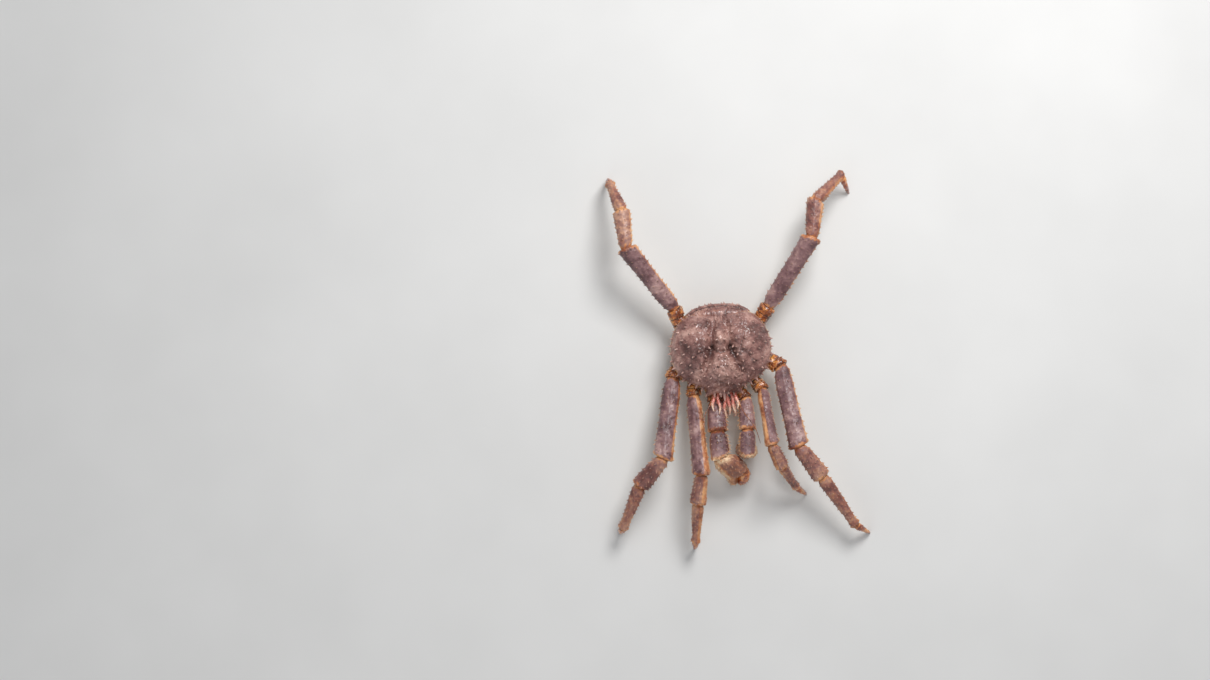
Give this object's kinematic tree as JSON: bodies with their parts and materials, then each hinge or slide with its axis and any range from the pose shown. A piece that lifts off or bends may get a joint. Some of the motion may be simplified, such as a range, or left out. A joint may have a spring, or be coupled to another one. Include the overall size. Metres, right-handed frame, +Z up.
{
  "type": "red king crab",
  "caption": "Life-size still model of a red king crab standing on its walking legs, with a spiny domed shell, unequal claws, eyes, feelers and a folded tail.",
  "frame": {"origin": "on the floor, under the middle of the crab's bounding box", "axes": "+Z up, the head looks along -Y, the crab's own right side is -X"},
  "size_m": [0.4874, 0.7128, 0.1329],
  "materials": {
    "shell": "damp mauve-brown crab shell with paler pinkish spines",
    "limb": "wet mauve leg shell with cream and orange edges",
    "hip": "orange and brown shell at the roots of the limbs",
    "toe": "polished horn-brown toes and claw fingers",
    "belly": "cream to pale orange underside",
    "mouth": "pink-red mouth limbs with cream ends",
    "eye": "glossy black"
  },
  "bodies": {
    "root": {"carapace": "shell", "underbody": "belly", "tail_base": "shell", "tail_flap": "belly", "eye_left": "eye", "eye_right": "eye", "antennule_left": "mouth", "antennule_right": "mouth", "mouth_limb_left": "mouth", "mouth_limb_right": "mouth", "antenna_left": "hip", "antenna_right": "hip", "leg_front_right_hip": "hip", "leg_front_right_merus": "limb", "leg_front_right_carpus": "limb", "leg_front_right_propodus": "limb", "leg_front_right_dactyl": "toe", "leg_front_left_hip": "hip", "leg_front_left_merus": "limb", "leg_front_left_carpus": "limb", "leg_front_left_propodus": "limb", "leg_front_left_dactyl": "toe", "leg_middle_right_hip": "hip", "leg_middle_right_merus": "limb", "leg_middle_right_carpus": "limb", "leg_middle_right_propodus": "limb", "leg_middle_right_dactyl": "toe", "leg_middle_left_hip": "hip", "leg_middle_left_merus": "limb", "leg_middle_left_carpus": "limb", "leg_middle_left_propodus": "limb", "leg_middle_left_dactyl": "toe", "leg_hind_right_hip": "hip", "leg_hind_right_merus": "limb", "leg_hind_right_carpus": "limb", "leg_hind_right_propodus": "limb", "leg_hind_right_dactyl": "toe", "leg_hind_left_hip": "hip", "leg_hind_left_merus": "limb", "leg_hind_left_carpus": "limb", "leg_hind_left_propodus": "limb", "leg_hind_left_dactyl": "toe", "claw_right_hip": "hip", "claw_right_merus": "limb", "claw_right_carpus": "limb", "claw_right_palm": "limb", "claw_right_finger": "toe", "claw_left_hip": "hip", "claw_left_merus": "limb", "claw_left_carpus": "limb", "claw_left_palm": "limb", "claw_left_finger": "toe"}
  },
  "joints": []
}
